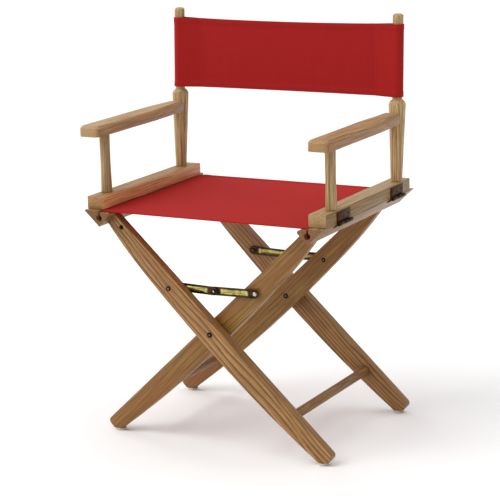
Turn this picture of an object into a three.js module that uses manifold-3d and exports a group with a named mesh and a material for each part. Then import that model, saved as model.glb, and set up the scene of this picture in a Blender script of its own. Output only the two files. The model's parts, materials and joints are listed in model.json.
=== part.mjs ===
// A folding director chair with a canvas seat and back.
// Millimetres, +Z up, the front of the chair towards -Y, the origin on the floor under its middle.
// Two leg frames cross in an X. The outer frame carries the left rail, the inner frame the right rail.
// Each arm assembly is hinged to its rail, and two folding stays join the frames in front and behind.

import * as THREE from 'three';
import { mergeVertices } from 'three/addons/utils/BufferGeometryUtils.js';
import Module from 'manifold-3d';

const wasm = await Module();
wasm.setup();

// ---- driving dimensions ----

const LEFT = -1;
const RIGHT = 1;
const FRONT = -1;
const REAR = 1;
const GAP = 0.3;                 // clearance between pieces that touch on the real chair

const OVERALL_HEIGHT = 857;
const PIVOT_HEIGHT = 243.5;
const LEG_ANGLE = THREE.MathUtils.degToRad(43.3);   // of a leg above the floor, chair open

const LEG_THICKNESS = 20;
const OUTER_LEG_Y = 184.5;       // middle plane of the outer frame's legs
const INNER_LEG_Y = 153.5;       // middle plane of the inner frame's legs
const LEG_TOP = 315;             // from the pivot up along the leg to the rail
const LEG_FOOT = 350;            // from the pivot down along the leg to its end
const LEG_EDGE = 23.5;           // from the pivot line to the straight upper edge
const LEG_BOW = 25;              // from the pivot line to the widest point of the bowed edge
const LEG_BOW_MIDDLE = -43;      // where along the leg the bowed edge is widest
const LEG_BOW_LOWER_RADIUS = 2846;
const LEG_BOW_UPPER_RADIUS = 3800;
const LEG_SHOULDER = { from: 190, drop: 6 };   // the bowed edge turns in faster near the rail
const LEG_FOOT_RADIUS = 9;

const GLIDE_RADIUS = 11.5;
const GLIDE_HEIGHT = 5;
const GLIDE_NAIL_RADIUS = 1.5;
const GLIDE_NAIL_TOP = 16;

const STRETCHER_RADIUS = 10;
const STRETCHER_AT = { along: -233, across: 4 };
const STRETCHER_HOLE_DEPTH = 15;

const PIVOT_RIVET_RADIUS = 4;
const PIVOT_HEAD_RADIUS = 5.6;
const PIVOT_HEAD_HEIGHT = 1.8;
const WASHER_RADIUS = 11;

const RAIL_LENGTH = 438;
const RAIL_BASE = 31.5;          // width of the face that the legs butt against
const RAIL_TOP = 485.5;          // height of the planed top that carries the arm block
const SHELF_TOP = 482.3;         // height of the inner shelf that the canvas runs over
const GROOVE_X = 236;
const GROOVE_ROD_HEIGHT = 470.5;
const GROOVE_RADIUS = 6.9;
const GROOVE_SLOT = 5;

const SEAT_CANVAS = { front: -210, rear: 204, thickness: 2 };
const SEAT_ROD_RADIUS = 4;
const SEAT_ROD_INSET = 12;
const HEM_INNER_RADIUS = 4.4;
const HEM_OUTER_RADIUS = 6.2;
const HEM_SLOT_HALF = 1.8;

const RAIL_STUD_RADIUS = 2.5;
const BARREL_NUT_RADIUS = 5;
const BARREL_NUT_RECESS = 4;
const BARREL_NUT_AT = { along: 286, across: 14 };
const RAIL_STUD_TOP = 326;
const RAIL_STUD_BOTTOM = 278;

const BLOCK = { inner: 232.5, outer: 270.5, bottom: 486, top: 511.5, front: -204.5, rear: 197 };
const FRONT_POST = { x: 256.5, y: -152, radius: 10.2, tenon: 6.5, tenonLength: 11 };
const BACK_POST = { x: 258, y: 165.5, footHalf: 11.2, headHalf: 16.8, neck: 10.3, knob: 11, tenon: 7.5 };
const BACK_POST_HEAD_TOP = 680;  // where the post's axis is at the y given above
const BACK_LEAN = 0.05;          // how far back the posts go for each unit of height
const ARMREST = { inner: 233.7, outer: 281.5, bottom: 635, top: 657, front: -211, rear: 144.5 };
const ARMREST_CHAMFER = 5;
const BACK_CANVAS = { bottom: 687, top: 836, thickness: 2.4, sleeveSeam: 206, sleeveRadius: 12.8 };

const HINGE = { x: 275.2, z: 485, y: 128, length: 60, pin: 1.5, knuckle: 3.5, leaf: 1.5 };
const HINGE_UPPER_LEAF_TOP = 508;
const HINGE_LOWER_LEAF = 11;     // how far the lower leaf reaches down the rail's outer face

const STAY_BOLT_AT = { along: 127.6, across: 0.5 };
const STAY_DROP = 2;             // of the middle rivet below the end bolts, chair open
const STAY_HALF_WIDTH = 9;
const STAY_PLATE = 1.6;
const STAY_HOLE_RADIUS = 2.9;
const STAY_SHANK_RADIUS = 2.6;
const STAY_HEAD_RADIUS = 4.8;
const STAY_HEAD = 1.8;
const BOLT_HEAD_RADIUS = 5;

// ---- materials ----

function finish(color, roughness, metalness) {
  return new THREE.MeshStandardMaterial({ color, roughness, metalness });
}

const WOOD = finish(0xb98a57, 0.5, 0);
const CANVAS = finish(0xb0282c, 0.9, 0);
const ZINC = finish(0xb8a050, 0.35, 0.9);
const BRONZE = finish(0x3a2f22, 0.45, 0.8);
const STEEL = finish(0x9a9a96, 0.35, 0.9);
const PLASTIC = finish(0xdedede, 0.5, 0);

const chair = new THREE.Group();

function add(name, geometry, material) {
  const mesh = new THREE.Mesh(geometry, material);
  mesh.name = name;
  chair.add(mesh);
}

// ---- geometry helpers ----

function toSolid(geometry) {
  const bare = geometry.clone();
  bare.deleteAttribute('normal');
  bare.deleteAttribute('uv');
  const merged = mergeVertices(bare, 1e-3);
  const triangles = [];
  for (let i = 0; i < merged.index.count; i += 3) {
    const [a, b, c] = merged.index.array.slice(i, i + 3);
    if (a !== b && b !== c && c !== a) {
      triangles.push(a, b, c);
    }
  }
  const vertProperties = new Float32Array(merged.attributes.position.array);
  const mesh = new wasm.Mesh({ numProp: 3, vertProperties, triVerts: new Uint32Array(triangles) });
  mesh.merge();
  return new wasm.Manifold(mesh);
}

function toGeometry(solid) {
  const mesh = solid.getMesh();
  const geometry = new THREE.BufferGeometry();
  geometry.setAttribute('position', new THREE.BufferAttribute(mesh.vertProperties, 3));
  geometry.setIndex(new THREE.BufferAttribute(mesh.triVerts, 1));
  geometry.computeVertexNormals();
  return geometry;
}

function cut(geometry, tools) {
  let solid = toSolid(geometry);
  for (const tool of tools) {
    solid = solid.subtract(toSolid(tool));
  }
  return toGeometry(solid);
}

function join(geometries) {
  let solid = toSolid(geometries[0]);
  for (const other of geometries.slice(1)) {
    solid = solid.add(toSolid(other));
  }
  return toGeometry(solid);
}

// A closed outline, always run counter-clockwise so that its holes can run clockwise.
function outlineOf(points) {
  const ordered = THREE.ShapeUtils.isClockWise(points) ? [...points].reverse() : points;
  return new THREE.Shape(ordered);
}

// An outline in the XZ plane carried from y = low to y = high.
function prismAlongY(shape, low, high, curveSegments = 8) {
  const depth = high - low;
  const geometry = new THREE.ExtrudeGeometry(shape, { depth, bevelEnabled: false, curveSegments });
  geometry.rotateX(Math.PI / 2);
  geometry.translate(0, high, 0);
  return geometry;
}

function circleHole(x, z, radius) {
  return new THREE.Path().absarc(x, z, radius, 0, 2 * Math.PI, true);
}

// A solid of revolution about a line parallel to Y. Each station is [y, radius].
function turnedAlongY(stations, x, z, segments = 16) {
  const ordered = [...stations].sort((a, b) => a[0] - b[0]);
  const profile = [new THREE.Vector2(0, ordered[0][0])];
  for (const [y, radius] of ordered) {
    profile.push(new THREE.Vector2(radius, y));
  }
  profile.push(new THREE.Vector2(0, ordered[ordered.length - 1][0]));
  const geometry = new THREE.LatheGeometry(profile, segments);
  geometry.translate(x, 0, z);
  return geometry;
}

function cylinderAlongY(radius, low, high, x, z, segments = 16) {
  const geometry = new THREE.CylinderGeometry(radius, radius, high - low, segments);
  geometry.translate(x, (low + high) / 2, z);
  return geometry;
}

function cylinderAlongZ(radius, low, high, x, y, segments = 16) {
  const geometry = new THREE.CylinderGeometry(radius, radius, high - low, segments);
  geometry.rotateX(Math.PI / 2);
  geometry.translate(x, y, (low + high) / 2);
  return geometry;
}

function box(x0, x1, y0, y1, z0, z1) {
  const geometry = new THREE.BoxGeometry(Math.abs(x1 - x0), y1 - y0, z1 - z0);
  geometry.translate((x0 + x1) / 2, (y0 + y1) / 2, (z0 + z1) / 2);
  return geometry;
}

// A post built up from level sections. round = 0 is a square with wide chamfers, round = 1 a circle.
const POST_SIDES = 16;
const CHAMFER_REACH = 1 + Math.tan(Math.PI / 8);

function postRadius(angle, half, round) {
  const c = Math.abs(Math.cos(angle));
  const s = Math.abs(Math.sin(angle));
  const square = Math.min(half / Math.max(c, s), (half * CHAMFER_REACH) / (c + s));
  return square * (1 - round) + half * round;
}

function post(sections, x, axisY) {
  const positions = [];
  for (const { z, half, round } of sections) {
    const y = axisY(z);
    for (let i = 0; i < POST_SIDES; i++) {
      const angle = (2 * Math.PI * i) / POST_SIDES;
      const radius = postRadius(angle, half, round);
      positions.push(x + radius * Math.cos(angle), y + radius * Math.sin(angle), z);
    }
  }
  const bottomCentre = sections.length * POST_SIDES;
  const ends = [sections[0].z, sections[sections.length - 1].z];
  for (const z of ends) {
    positions.push(x, axisY(z), z);
  }
  const index = [];
  for (let i = 0; i < POST_SIDES; i++) {
    const next = (i + 1) % POST_SIDES;
    for (let k = 0; k < sections.length - 1; k++) {
      const low = k * POST_SIDES;
      const high = low + POST_SIDES;
      index.push(low + i, low + next, high + next, low + i, high + next, high + i);
    }
    const top = (sections.length - 1) * POST_SIDES;
    index.push(bottomCentre, next, i, bottomCentre + 1, top + i, top + next);
  }
  const geometry = new THREE.BufferGeometry();
  geometry.setAttribute('position', new THREE.BufferAttribute(new Float32Array(positions), 3));
  geometry.setIndex(index);
  geometry.computeVertexNormals();
  return geometry;
}

// ---- the leg frames ----

const COS = Math.cos(LEG_ANGLE);
const SIN = Math.sin(LEG_ANGLE);

// A point in the XZ plane, given along a leg from the pivot and across it towards its upper edge.
function onLeg(side, along, across) {
  return new THREE.Vector2(side * (along * COS - across * SIN), PIVOT_HEIGHT + along * SIN + across * COS);
}

function bow(along) {
  const d = along - LEG_BOW_MIDDLE;
  const radius = d < 0 ? LEG_BOW_LOWER_RADIUS : LEG_BOW_UPPER_RADIUS;
  const shoulder = Math.max(0, along - LEG_SHOULDER.from) / (LEG_TOP - LEG_SHOULDER.from);
  return LEG_BOW - (radius - Math.sqrt(radius ** 2 - d ** 2)) - LEG_SHOULDER.drop * shoulder ** 2;
}

// Where along the leg a line at this distance across it reaches the given height.
function alongAtHeight(height, across) {
  return (height - PIVOT_HEIGHT - across * COS) / SIN;
}

const FOOT_CUT = GLIDE_HEIGHT + GAP;
const FOOT_CUT_START = alongAtHeight(FOOT_CUT, -bow(-LEG_FOOT + 10));
const FOOT_CUT_END_ACROSS = (FOOT_CUT - PIVOT_HEIGHT + LEG_FOOT * SIN) / COS;

function legShape(side) {
  const points = [onLeg(side, LEG_TOP, LEG_EDGE)];
  const steps = 24;
  for (let i = 0; i <= steps; i++) {
    const along = LEG_TOP + ((FOOT_CUT_START - LEG_TOP) * i) / steps;
    points.push(onLeg(side, along, -bow(along)));
  }
  points.push(onLeg(side, -LEG_FOOT, FOOT_CUT_END_ACROSS));
  const cornerSteps = 4;
  for (let i = 0; i <= cornerSteps; i++) {
    const angle = Math.PI - (Math.PI / 2) * (i / cornerSteps);
    const along = -LEG_FOOT + LEG_FOOT_RADIUS + LEG_FOOT_RADIUS * Math.cos(angle);
    points.push(onLeg(side, along, LEG_EDGE - LEG_FOOT_RADIUS + LEG_FOOT_RADIUS * Math.sin(angle)));
  }
  return outlineOf(points);
}

// The glide sits under the foot cut and stands a little proud of it on the inner side.
const GLIDE_X = -onLeg(RIGHT, FOOT_CUT_START, -bow(FOOT_CUT_START)).x + 7;

// The cross hole for the barrel nut is bored from one face only. nutFace is +1 or -1, away from its mouth.
function addLeg(name, side, middle, inward, nutFace) {
  const low = middle - LEG_THICKNESS / 2;
  const high = middle + LEG_THICKNESS / 2;
  const shape = legShape(side);
  const bolt = onLeg(side, STAY_BOLT_AT.along, STAY_BOLT_AT.across);
  const nut = onLeg(side, BARREL_NUT_AT.along, BARREL_NUT_AT.across);
  shape.holes.push(circleHole(0, PIVOT_HEIGHT, PIVOT_RIVET_RADIUS + 0.4));
  shape.holes.push(circleHole(bolt.x, bolt.y, STAY_SHANK_RADIUS + GAP));

  const peg = onLeg(side, STRETCHER_AT.along, STRETCHER_AT.across);
  const face = middle + inward * (LEG_THICKNESS / 2);
  const pocket = [face - inward * STRETCHER_HOLE_DEPTH, face + inward];
  const socket = cylinderAlongY(STRETCHER_RADIUS + 0.4, Math.min(...pocket), Math.max(...pocket),
    peg.x, peg.y, 24);
  const nail = cylinderAlongZ(GLIDE_NAIL_RADIUS + GAP, 0, GLIDE_NAIL_TOP + GAP, -side * GLIDE_X, middle, 10);
  const nutMouth = middle - nutFace * (LEG_THICKNESS / 2 + 1);
  const nutFloor = middle + nutFace * (LEG_THICKNESS / 2 - BARREL_NUT_RECESS + GAP);
  const nutHole = cylinderAlongY(BARREL_NUT_RADIUS + GAP, Math.min(nutMouth, nutFloor),
    Math.max(nutMouth, nutFloor), nut.x, nut.y);
  const holes = [socket, studHole(side, middle), nail, nutHole];
  add(name, cut(prismAlongY(shape, low, high), holes), WOOD);

  const glide = new THREE.LatheGeometry([
    new THREE.Vector2(0, 0),
    new THREE.Vector2(GLIDE_RADIUS - 1.5, 0),
    new THREE.Vector2(GLIDE_RADIUS, 1.5),
    new THREE.Vector2(GLIDE_RADIUS, GLIDE_HEIGHT - 1),
    new THREE.Vector2(GLIDE_RADIUS - 1, GLIDE_HEIGHT),
    new THREE.Vector2(GLIDE_NAIL_RADIUS, GLIDE_HEIGHT),
    new THREE.Vector2(GLIDE_NAIL_RADIUS, GLIDE_NAIL_TOP),
    new THREE.Vector2(0, GLIDE_NAIL_TOP),
  ], 24);
  glide.rotateX(Math.PI / 2);
  glide.translate(-side * GLIDE_X, middle, 0);
  add(name.replace('leg', 'glide'), glide, PLASTIC);
}

// A cylinder along the leg, on the line of the stud that ties the leg to its rail.
function alongLegCylinder(side, middle, radius, from, to) {
  const geometry = new THREE.CylinderGeometry(radius, radius, to - from, 16);
  geometry.rotateZ(-side * (Math.PI / 2 - LEG_ANGLE));
  geometry.rotateX(Math.PI / 2);
  const centre = onLeg(side, (from + to) / 2, BARREL_NUT_AT.across);
  geometry.translate(centre.x, middle, centre.y);
  return geometry;
}

function studHole(side, middle) {
  return alongLegCylinder(side, middle, RAIL_STUD_RADIUS + GAP, RAIL_STUD_BOTTOM - 1, RAIL_STUD_TOP + 0.5);
}

function addRailFixing(name, side, middle) {
  const nut = onLeg(side, BARREL_NUT_AT.along, BARREL_NUT_AT.across);
  const half = LEG_THICKNESS / 2 - BARREL_NUT_RECESS;
  const barrel = cylinderAlongY(BARREL_NUT_RADIUS, middle - half, middle + half, nut.x, nut.y);
  add(`barrel_nut_${name}`, cut(barrel, [studHole(side, middle)]), STEEL);
  const stud = alongLegCylinder(side, middle, RAIL_STUD_RADIUS, RAIL_STUD_BOTTOM, RAIL_STUD_TOP);
  add(`rail_stud_${name}`, stud, STEEL);
}

// The rail is a bar set square to the legs, planed level on top, with a keyhole groove for the canvas hem.
const RAIL_FOOT = onLeg(RIGHT, LEG_TOP + GAP, -9.5);
const RAIL_CORNER = new THREE.Vector2(RAIL_FOOT.x - RAIL_BASE * SIN, RAIL_FOOT.y + RAIL_BASE * COS);
const RAIL_OUTER_X = RAIL_FOOT.x + ((RAIL_TOP - RAIL_FOOT.y) * COS) / SIN;

function railShape(side) {
  const slotHalf = GROOVE_SLOT / 2;
  const opening = Math.asin(slotHalf / GROOVE_RADIUS);
  const mouth = GROOVE_ROD_HEIGHT + GROOVE_RADIUS * Math.cos(opening);
  const points = [
    [RAIL_FOOT.x, RAIL_FOOT.y],
    [RAIL_OUTER_X, RAIL_TOP],
    [GROOVE_X + slotHalf, RAIL_TOP],
    [GROOVE_X + slotHalf, mouth],
  ];
  const steps = 16;
  for (let i = 1; i < steps; i++) {
    const angle = Math.PI / 2 - opening - (2 * Math.PI - 2 * opening) * (i / steps);
    points.push([
      GROOVE_X + GROOVE_RADIUS * Math.cos(angle),
      GROOVE_ROD_HEIGHT + GROOVE_RADIUS * Math.sin(angle),
    ]);
  }
  points.push([GROOVE_X - slotHalf, mouth]);
  points.push([GROOVE_X - slotHalf, SHELF_TOP]);
  points.push([RAIL_CORNER.x + 5, SHELF_TOP]);
  points.push([RAIL_CORNER.x + 1.5, SHELF_TOP - 1.5]);
  points.push([RAIL_CORNER.x, SHELF_TOP - 4]);
  points.push([RAIL_CORNER.x, RAIL_CORNER.y]);
  return outlineOf(points.map(([x, z]) => new THREE.Vector2(side * x, z)));
}

function addFrame(prefix, side, legY) {
  for (const [place, end] of [['front', FRONT], ['rear', REAR]]) {
    addLeg(`${prefix}_leg_${place}`, side, end * legY, -end, side === LEFT ? -end : end);
    addRailFixing(`${prefix}_${place}`, side, end * legY);
  }
  const peg = onLeg(side, STRETCHER_AT.along, STRETCHER_AT.across);
  const reach = legY - LEG_THICKNESS / 2 + STRETCHER_HOLE_DEPTH - 0.4;
  add(`${prefix}_stretcher`, cylinderAlongY(STRETCHER_RADIUS, -reach, reach, peg.x, peg.y, 24), WOOD);

  const rail = prismAlongY(railShape(side), -RAIL_LENGTH / 2, RAIL_LENGTH / 2);
  const sideName = side === LEFT ? 'left' : 'right';
  add(`${sideName}_rail`, cut(rail, [studHole(side, -legY), studHole(side, legY)]), WOOD);

  const rodFront = SEAT_CANVAS.front + SEAT_ROD_INSET;
  const rodRear = SEAT_CANVAS.rear - SEAT_ROD_INSET;
  const rod = cylinderAlongY(SEAT_ROD_RADIUS, rodFront, rodRear, side * GROOVE_X, GROOVE_ROD_HEIGHT, 16);
  add(`${sideName}_seat_rod`, rod, WOOD);
}

// ---- the pivots ----

function addPivot(place, end) {
  const outerFace = end * (OUTER_LEG_Y + LEG_THICKNESS / 2 + GAP);
  const innerFace = end * (INNER_LEG_Y - LEG_THICKNESS / 2 - GAP);
  const rivet = turnedAlongY([
    [outerFace + end * PIVOT_HEAD_HEIGHT, PIVOT_HEAD_RADIUS - 2],
    [outerFace + end * 1, PIVOT_HEAD_RADIUS],
    [outerFace, PIVOT_HEAD_RADIUS],
    [outerFace - end * 0.01, PIVOT_RIVET_RADIUS],
    [innerFace + end * 0.01, PIVOT_RIVET_RADIUS],
    [innerFace, PIVOT_HEAD_RADIUS],
    [innerFace - end * 1, PIVOT_HEAD_RADIUS],
    [innerFace - end * PIVOT_HEAD_HEIGHT, PIVOT_HEAD_RADIUS - 2],
  ], 0, PIVOT_HEIGHT);
  add(`pivot_rivet_${place}`, rivet, STEEL);

  const ring = new THREE.Shape();
  ring.absarc(0, PIVOT_HEIGHT, WASHER_RADIUS, 0, 2 * Math.PI, false);
  ring.holes.push(circleHole(0, PIVOT_HEIGHT, PIVOT_RIVET_RADIUS + 0.4));
  const faces = [
    end * (INNER_LEG_Y + LEG_THICKNESS / 2 + GAP),
    end * (OUTER_LEG_Y - LEG_THICKNESS / 2 - GAP),
  ];
  add(`pivot_washer_${place}`, prismAlongY(ring, Math.min(...faces), Math.max(...faces)), STEEL);
}

// ---- the folding stays ----
// Each stay lies in the slot between an outer and an inner leg. Counted from the outer leg towards the
// inner one there are a rivet head, the outer link, a thin slot, the inner link and a rivet tail.

const SLOT_FACE = OUTER_LEG_Y - LEG_THICKNESS / 2;
const OUTER_LINK_FACE = SLOT_FACE - 0.4 - STAY_HEAD;
const INNER_LINK_FACE = OUTER_LINK_FACE - STAY_PLATE - 0.4;
const STAY_BOLT = onLeg(RIGHT, STAY_BOLT_AT.along, STAY_BOLT_AT.across);
const STAY_MIDDLE = new THREE.Vector2(0, STAY_BOLT.y - STAY_DROP);

function linkShape(side) {
  const bolt = new THREE.Vector2(side * STAY_BOLT.x, STAY_BOLT.y);
  const heading = Math.atan2(STAY_MIDDLE.y - bolt.y, STAY_MIDDLE.x - bolt.x);
  const rim = new THREE.Path();
  const quarter = Math.PI / 2;
  rim.absarc(STAY_MIDDLE.x, STAY_MIDDLE.y, STAY_HALF_WIDTH, heading - quarter, heading + quarter, false);
  rim.absarc(bolt.x, bolt.y, STAY_HALF_WIDTH, heading + quarter, heading + 3 * quarter, false);
  const shape = outlineOf(rim.getPoints(8));
  shape.holes.push(circleHole(bolt.x, bolt.y, STAY_HOLE_RADIUS));
  shape.holes.push(circleHole(STAY_MIDDLE.x, STAY_MIDDLE.y, STAY_HOLE_RADIUS));
  return shape;
}

function addLink(name, side, end, face) {
  const faces = [end * face, end * (face - STAY_PLATE)];
  add(name, prismAlongY(linkShape(side), Math.min(...faces), Math.max(...faces), 8), ZINC);
}

function addStay(place, end) {
  addLink(`stay_${place}_outer_link`, LEFT, end, OUTER_LINK_FACE);
  addLink(`stay_${place}_inner_link`, RIGHT, end, INNER_LINK_FACE);

  const head = turnedAlongY([
    [end * (OUTER_LINK_FACE + STAY_HEAD - 0.1), STAY_HEAD_RADIUS - 1],
    [end * (OUTER_LINK_FACE + 0.6), STAY_HEAD_RADIUS],
    [end * (OUTER_LINK_FACE + 0.1), STAY_HEAD_RADIUS],
    [end * (OUTER_LINK_FACE + 0.09), STAY_SHANK_RADIUS],
    [end * (OUTER_LINK_FACE - STAY_PLATE), STAY_SHANK_RADIUS],
  ], STAY_MIDDLE.x, STAY_MIDDLE.y, 16);
  add(`stay_${place}_rivet_head`, head, STEEL);

  const tail = turnedAlongY([
    [end * INNER_LINK_FACE, STAY_SHANK_RADIUS],
    [end * (INNER_LINK_FACE - STAY_PLATE - 0.09), STAY_SHANK_RADIUS],
    [end * (INNER_LINK_FACE - STAY_PLATE - 0.1), STAY_HEAD_RADIUS],
    [end * (INNER_LINK_FACE - STAY_PLATE - 0.6), STAY_HEAD_RADIUS],
    [end * (INNER_LINK_FACE - STAY_PLATE - STAY_HEAD), STAY_HEAD_RADIUS - 1],
  ], STAY_MIDDLE.x, STAY_MIDDLE.y, 16);
  add(`stay_${place}_rivet_tail`, tail, STEEL);

  // The outer bolt runs from a low head on the outer leg's face to a flange behind the outer link.
  const outerFace = OUTER_LEG_Y + LEG_THICKNESS / 2 + GAP;
  const outerBolt = turnedAlongY([
    [end * (outerFace + 1.6), BOLT_HEAD_RADIUS - 1.4],
    [end * (outerFace + 0.8), BOLT_HEAD_RADIUS],
    [end * outerFace, BOLT_HEAD_RADIUS],
    [end * (outerFace - 0.01), STAY_SHANK_RADIUS],
    [end * (OUTER_LINK_FACE - STAY_PLATE - 0.1), STAY_SHANK_RADIUS],
    [end * (OUTER_LINK_FACE - STAY_PLATE - 0.11), STAY_HEAD_RADIUS],
    [end * (OUTER_LINK_FACE - STAY_PLATE - 1.4), STAY_HEAD_RADIUS - 0.8],
  ], -STAY_BOLT.x, STAY_BOLT.y, 16);
  add(`stay_${place}_outer_bolt`, outerBolt, STEEL);

  // The inner bolt has its head on the inner link and ends behind the inner leg.
  const innerFace = INNER_LEG_Y - LEG_THICKNESS / 2 - GAP;
  const innerBolt = turnedAlongY([
    [end * (INNER_LINK_FACE + STAY_HEAD), STAY_HEAD_RADIUS - 1],
    [end * (INNER_LINK_FACE + 0.6), STAY_HEAD_RADIUS],
    [end * (INNER_LINK_FACE + 0.1), STAY_HEAD_RADIUS],
    [end * (INNER_LINK_FACE + 0.09), STAY_SHANK_RADIUS],
    [end * (innerFace + 0.01), STAY_SHANK_RADIUS],
    [end * innerFace, BOLT_HEAD_RADIUS],
    [end * (innerFace - 1.6), BOLT_HEAD_RADIUS - 1.4],
  ], STAY_BOLT.x, STAY_BOLT.y, 16);
  add(`stay_${place}_inner_bolt`, innerBolt, STEEL);
}

// ---- the arm assemblies ----

function armrestShape(side) {
  const taperFrom = 20;
  const noseRadius = 8;
  const inner = ARMREST.inner + ARMREST_CHAMFER;
  const outer = ARMREST.outer - ARMREST_CHAMFER;
  const front = ARMREST.front + ARMREST_CHAMFER;
  const rear = ARMREST.rear - ARMREST_CHAMFER;
  const curve = new THREE.Shape();
  curve.moveTo(inner + 5, rear);
  curve.lineTo(inner, taperFrom);
  curve.lineTo(inner, front + noseRadius);
  curve.quadraticCurveTo(inner, front, inner + noseRadius, front);
  curve.lineTo(outer - noseRadius, front);
  curve.quadraticCurveTo(outer, front, outer, front + noseRadius);
  curve.lineTo(outer, taperFrom);
  curve.quadraticCurveTo(outer, taperFrom + 60, outer - 8, rear);
  curve.closePath();
  return outlineOf(curve.getPoints(8).slice(0, -1).map((p) => new THREE.Vector2(side * p.x, p.y)));
}

// Only the top edges are chamfered. The lower chamfer of the extrusion is cut off at the underside.
function addArmrest(name, side) {
  const geometry = new THREE.ExtrudeGeometry(armrestShape(side), {
    depth: ARMREST.top - ARMREST.bottom - ARMREST_CHAMFER,
    bevelEnabled: true,
    bevelThickness: ARMREST_CHAMFER,
    bevelSize: ARMREST_CHAMFER,
    bevelSegments: 1,
  });
  geometry.translate(0, 0, ARMREST.bottom);
  const margin = 5;
  const waste = box(
    side * (ARMREST.inner - margin), side * (ARMREST.outer + margin),
    ARMREST.front - margin, ARMREST.rear + margin,
    ARMREST.bottom - 2 * ARMREST_CHAMFER, ARMREST.bottom,
  );
  const socketTop = ARMREST.bottom + FRONT_POST.tenonLength + GAP;
  const socket = cylinderAlongZ(FRONT_POST.tenon + GAP, ARMREST.bottom - 2, socketTop,
    side * FRONT_POST.x, FRONT_POST.y);
  add(name, cut(geometry, [waste, socket]), WOOD);
}

// The back posts lean back from the arm blocks. Their tenons stand upright.
function backPostY(z) {
  return BACK_POST.y + BACK_LEAN * (Math.max(z, BLOCK.top) - BACK_POST_HEAD_TOP);
}

function addPosts(sideName, side) {
  const frontFoot = BLOCK.top + GAP;
  const frontTop = ARMREST.bottom - GAP;
  add(`${sideName}_front_post`, post([
    { z: frontFoot - FRONT_POST.tenonLength, half: FRONT_POST.tenon, round: 1 },
    { z: frontFoot - 0.01, half: FRONT_POST.tenon, round: 1 },
    { z: frontFoot, half: FRONT_POST.radius + 1.5, round: 0.6 },
    { z: frontFoot + 8, half: FRONT_POST.radius + 1, round: 0.6 },
    { z: (frontFoot + frontTop) / 2, half: FRONT_POST.radius, round: 0.6 },
    { z: frontTop - 6, half: FRONT_POST.radius + 0.3, round: 0.6 },
    { z: frontTop, half: FRONT_POST.radius, round: 0.6 },
    { z: frontTop + 0.01, half: FRONT_POST.tenon, round: 1 },
    { z: frontTop + FRONT_POST.tenonLength, half: FRONT_POST.tenon, round: 1 },
  ], side * FRONT_POST.x, () => FRONT_POST.y), WOOD);

  const head = BACK_POST_HEAD_TOP;
  add(`${sideName}_back_post`, post([
    { z: frontFoot - FRONT_POST.tenonLength, half: BACK_POST.tenon, round: 1 },
    { z: frontFoot - 0.01, half: BACK_POST.tenon, round: 1 },
    { z: frontFoot, half: BACK_POST.footHalf, round: 0.2 },
    { z: head - 8, half: BACK_POST.headHalf, round: 0.2 },
    { z: head - 3, half: BACK_POST.headHalf - 2, round: 0.4 },
    { z: head, half: BACK_POST.neck + 2.5, round: 1 },
    { z: head + 0.5, half: BACK_POST.neck, round: 1 },
    { z: BACK_CANVAS.top + 1, half: BACK_POST.neck, round: 1 },
    { z: BACK_CANVAS.top + 2.5, half: BACK_POST.knob, round: 1 },
    { z: OVERALL_HEIGHT - 4, half: BACK_POST.knob, round: 1 },
    { z: OVERALL_HEIGHT - 1.2, half: BACK_POST.knob - 1.8, round: 1 },
    { z: OVERALL_HEIGHT, half: BACK_POST.knob - 5, round: 1 },
  ], side * BACK_POST.x, backPostY), WOOD);
}

function addBlock(sideName, side) {
  const bar = box(side * BLOCK.inner, side * BLOCK.outer, BLOCK.front, BLOCK.rear, BLOCK.bottom, BLOCK.top);
  const floor = BLOCK.top - FRONT_POST.tenonLength - GAP;
  const sockets = [
    cylinderAlongZ(FRONT_POST.tenon + GAP, floor, BLOCK.top + 2, side * FRONT_POST.x, FRONT_POST.y),
    cylinderAlongZ(BACK_POST.tenon + GAP, floor, BLOCK.top + 2, side * BACK_POST.x, backPostY(BLOCK.top)),
  ];
  add(`${sideName}_arm_block`, cut(bar, sockets), WOOD);
}

// ---- the hinges between arm block and rail ----
// The upper leaf stands on the block's outer face and has the two end knuckles. The lower leaf lies on
// the rail's outer face and has the middle knuckle.

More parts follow.
